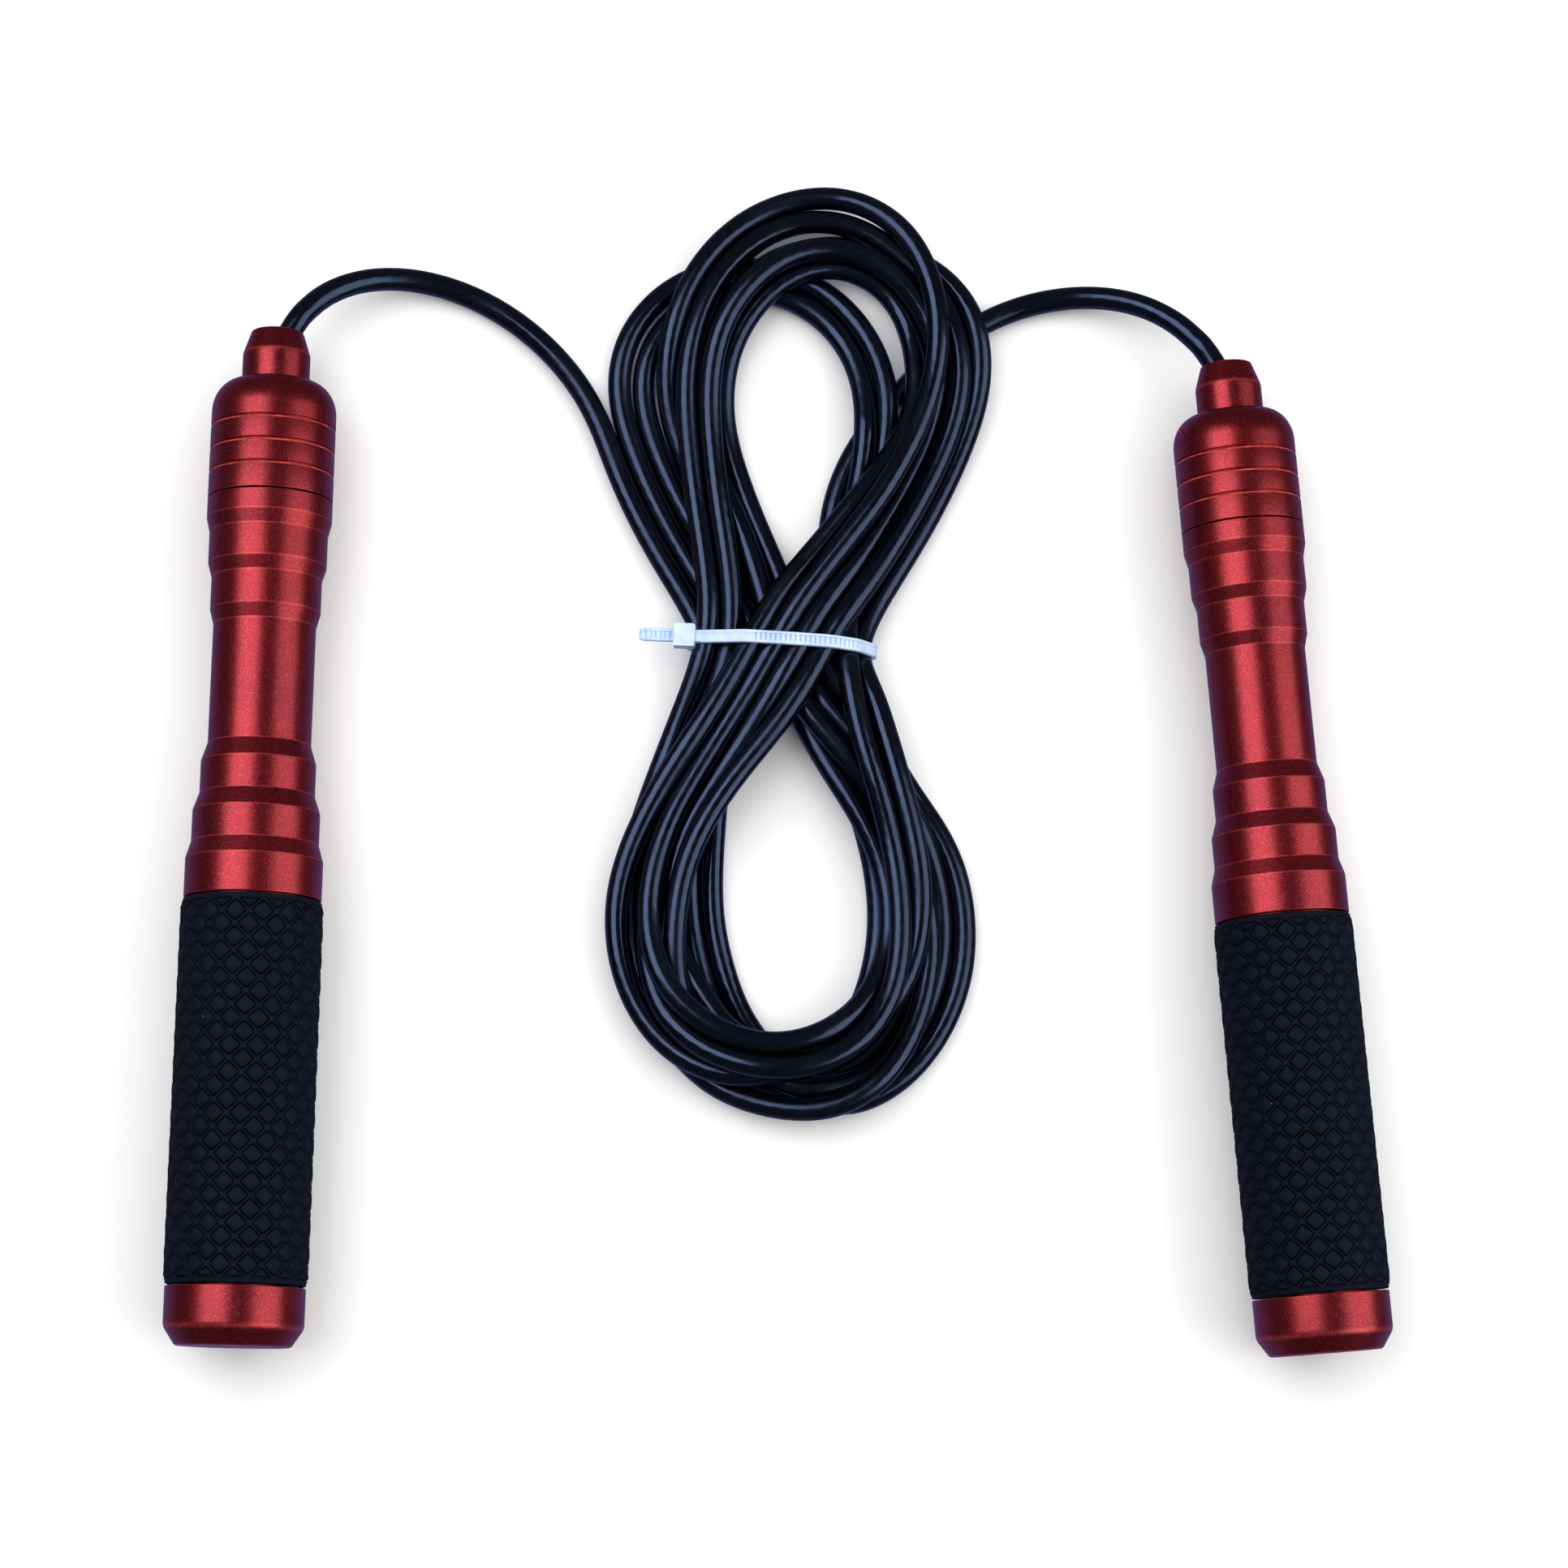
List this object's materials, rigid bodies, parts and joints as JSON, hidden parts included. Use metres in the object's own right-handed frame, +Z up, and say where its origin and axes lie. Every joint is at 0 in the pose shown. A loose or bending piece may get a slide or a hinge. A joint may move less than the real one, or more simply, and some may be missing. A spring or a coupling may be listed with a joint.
{
  "type": "jump rope",
  "caption": "Jump rope laid flat: turned metal handles with soft grips and ball-bearing swivels, joined by a plastic-covered wire rope wound in a tied figure-of-eight hank.",
  "frame": {"origin": "on the table plane, under the middle of the box round the two handles", "axes": "+Z up; +Y the way the handles' noses point; +X from the left handle to the right one"},
  "size_m": [0.231, 0.2299, 0.0278],
  "materials": {
    "red_aluminium": "satin bead-blasted red anodising",
    "blue_silicone": "matte moulded silicone with a diamond tread",
    "steel": "ground bearing steel",
    "brass": "turned",
    "black_pvc": "glossy black cover over twisted wire",
    "nylon": "translucent natural nylon"
  },
  "bodies": {
    "rope": {"left_spindle": "red_aluminium", "left_spindle_nut": "steel", "left_inner_spacer": "steel", "left_front_inner_race": "steel", "left_rear_inner_race": "steel", "left_cord_stop": "brass", "left_clamp_screw": "steel", "left_rope_tail": "black_pvc", "left_lead": "black_pvc", "right_spindle": "red_aluminium", "right_spindle_nut": "steel", "right_inner_spacer": "steel", "right_front_inner_race": "steel", "right_rear_inner_race": "steel", "right_cord_stop": "brass", "right_clamp_screw": "steel", "right_rope_tail": "black_pvc", "right_lead": "black_pvc", "rope_hank": "black_pvc", "cable_tie": "nylon"},
    "left_handle": {"left_head": "red_aluminium", "left_handle_tube": "red_aluminium", "left_grip": "blue_silicone", "left_end_cap": "red_aluminium", "left_circlip": "steel", "left_outer_spacer": "red_aluminium", "left_front_outer_race": "steel", "left_rear_outer_race": "steel"},
    "left_ball_sets": {"left_front_balls": "steel", "left_rear_balls": "steel"},
    "right_handle": {"right_head": "red_aluminium", "right_handle_tube": "red_aluminium", "right_grip": "blue_silicone", "right_end_cap": "red_aluminium", "right_circlip": "steel", "right_outer_spacer": "red_aluminium", "right_front_outer_race": "steel", "right_rear_outer_race": "steel"},
    "right_ball_sets": {"right_front_balls": "steel", "right_rear_balls": "steel"}
  },
  "joints": [
    {"name": "left_swivel", "type": "hinge", "parent": "rope", "child": "left_handle", "pos_m": [-0.09828, 0.08801, 0.01175], "axis": [0.0225, 0.9996, -0.0156], "continuous": true},
    {"name": "left_balls_orbit", "type": "hinge", "parent": "rope", "child": "left_ball_sets", "pos_m": [-0.09828, 0.08801, 0.01175], "axis": [0.0225, 0.9996, -0.0156], "continuous": true},
    {"name": "right_swivel", "type": "hinge", "parent": "rope", "child": "right_handle", "pos_m": [0.08828, 0.08652, 0.01175], "axis": [-0.079, 0.9968, -0.0156], "continuous": true},
    {"name": "right_balls_orbit", "type": "hinge", "parent": "rope", "child": "right_ball_sets", "pos_m": [0.08828, 0.08652, 0.01175], "axis": [-0.079, 0.9968, -0.0156], "continuous": true}
  ],
  "couplings": [
    {"joint": "left_balls_orbit", "follows": "left_swivel", "ratio": 0.575},
    {"joint": "right_balls_orbit", "follows": "right_swivel", "ratio": 0.575}
  ]
}
